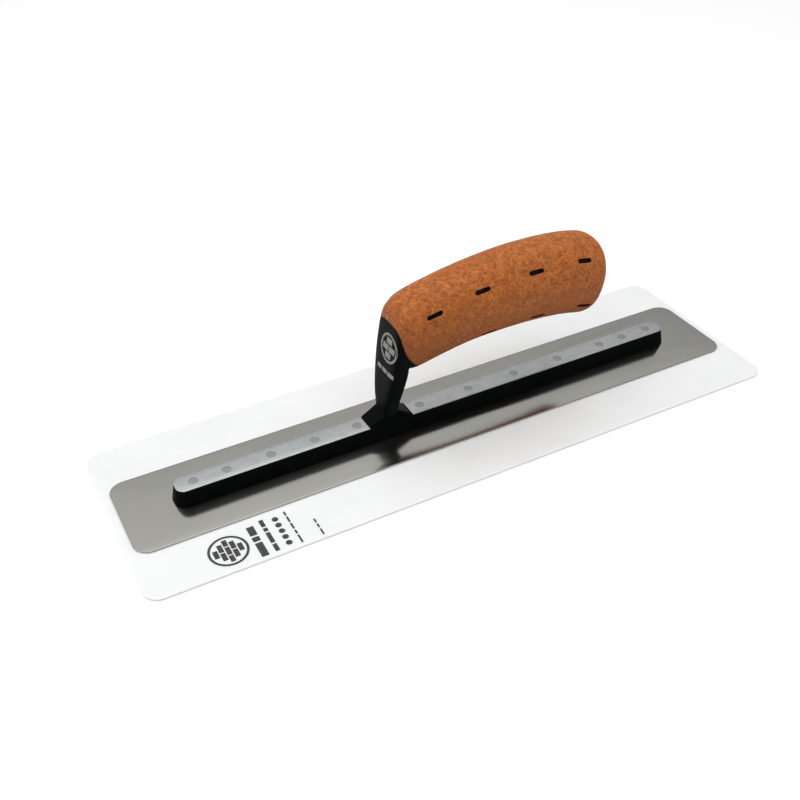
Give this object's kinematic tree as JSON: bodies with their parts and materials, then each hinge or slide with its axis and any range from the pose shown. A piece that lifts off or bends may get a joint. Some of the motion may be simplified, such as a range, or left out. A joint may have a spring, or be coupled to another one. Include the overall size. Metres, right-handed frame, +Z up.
{
  "type": "finishing trowel",
  "caption": "Finishing trowel: a flexible plastic blade bonded to a riveted steel backing plate, with a black cast mounting bar and gooseneck, and a cork grip.",
  "frame": {"origin": "middle of the plastic blade's underside", "axes": "+X along the blade towards the grip's free end, +Z up out of the blade"},
  "size_m": [0.4, 0.125, 0.1008],
  "materials": {
    "plastic_sheet": "satin",
    "adhesive_film": "matte",
    "stainless_steel": "satin",
    "black_casting": "satin",
    "rivet_alloy": "satin",
    "cork": "matte",
    "black_plastic": "matte",
    "screw_steel": "satin"
  },
  "bodies": {
    "root": {"plastic_blade": "plastic_sheet", "bond_film": "adhesive_film", "steel_plate": "stainless_steel", "mount_casting": "black_casting", "rivet_01": "rivet_alloy", "rivet_02": "rivet_alloy", "rivet_03": "rivet_alloy", "rivet_04": "rivet_alloy", "rivet_05": "rivet_alloy", "rivet_06": "rivet_alloy", "rivet_07": "rivet_alloy", "rivet_08": "rivet_alloy", "rivet_09": "rivet_alloy", "rivet_10": "rivet_alloy", "rivet_11": "rivet_alloy", "rivet_12": "rivet_alloy", "handle_core": "black_plastic", "cork_sleeve": "cork", "handle_screw": "screw_steel", "screw_washer": "screw_steel", "end_plug": "black_plastic"}
  },
  "joints": []
}
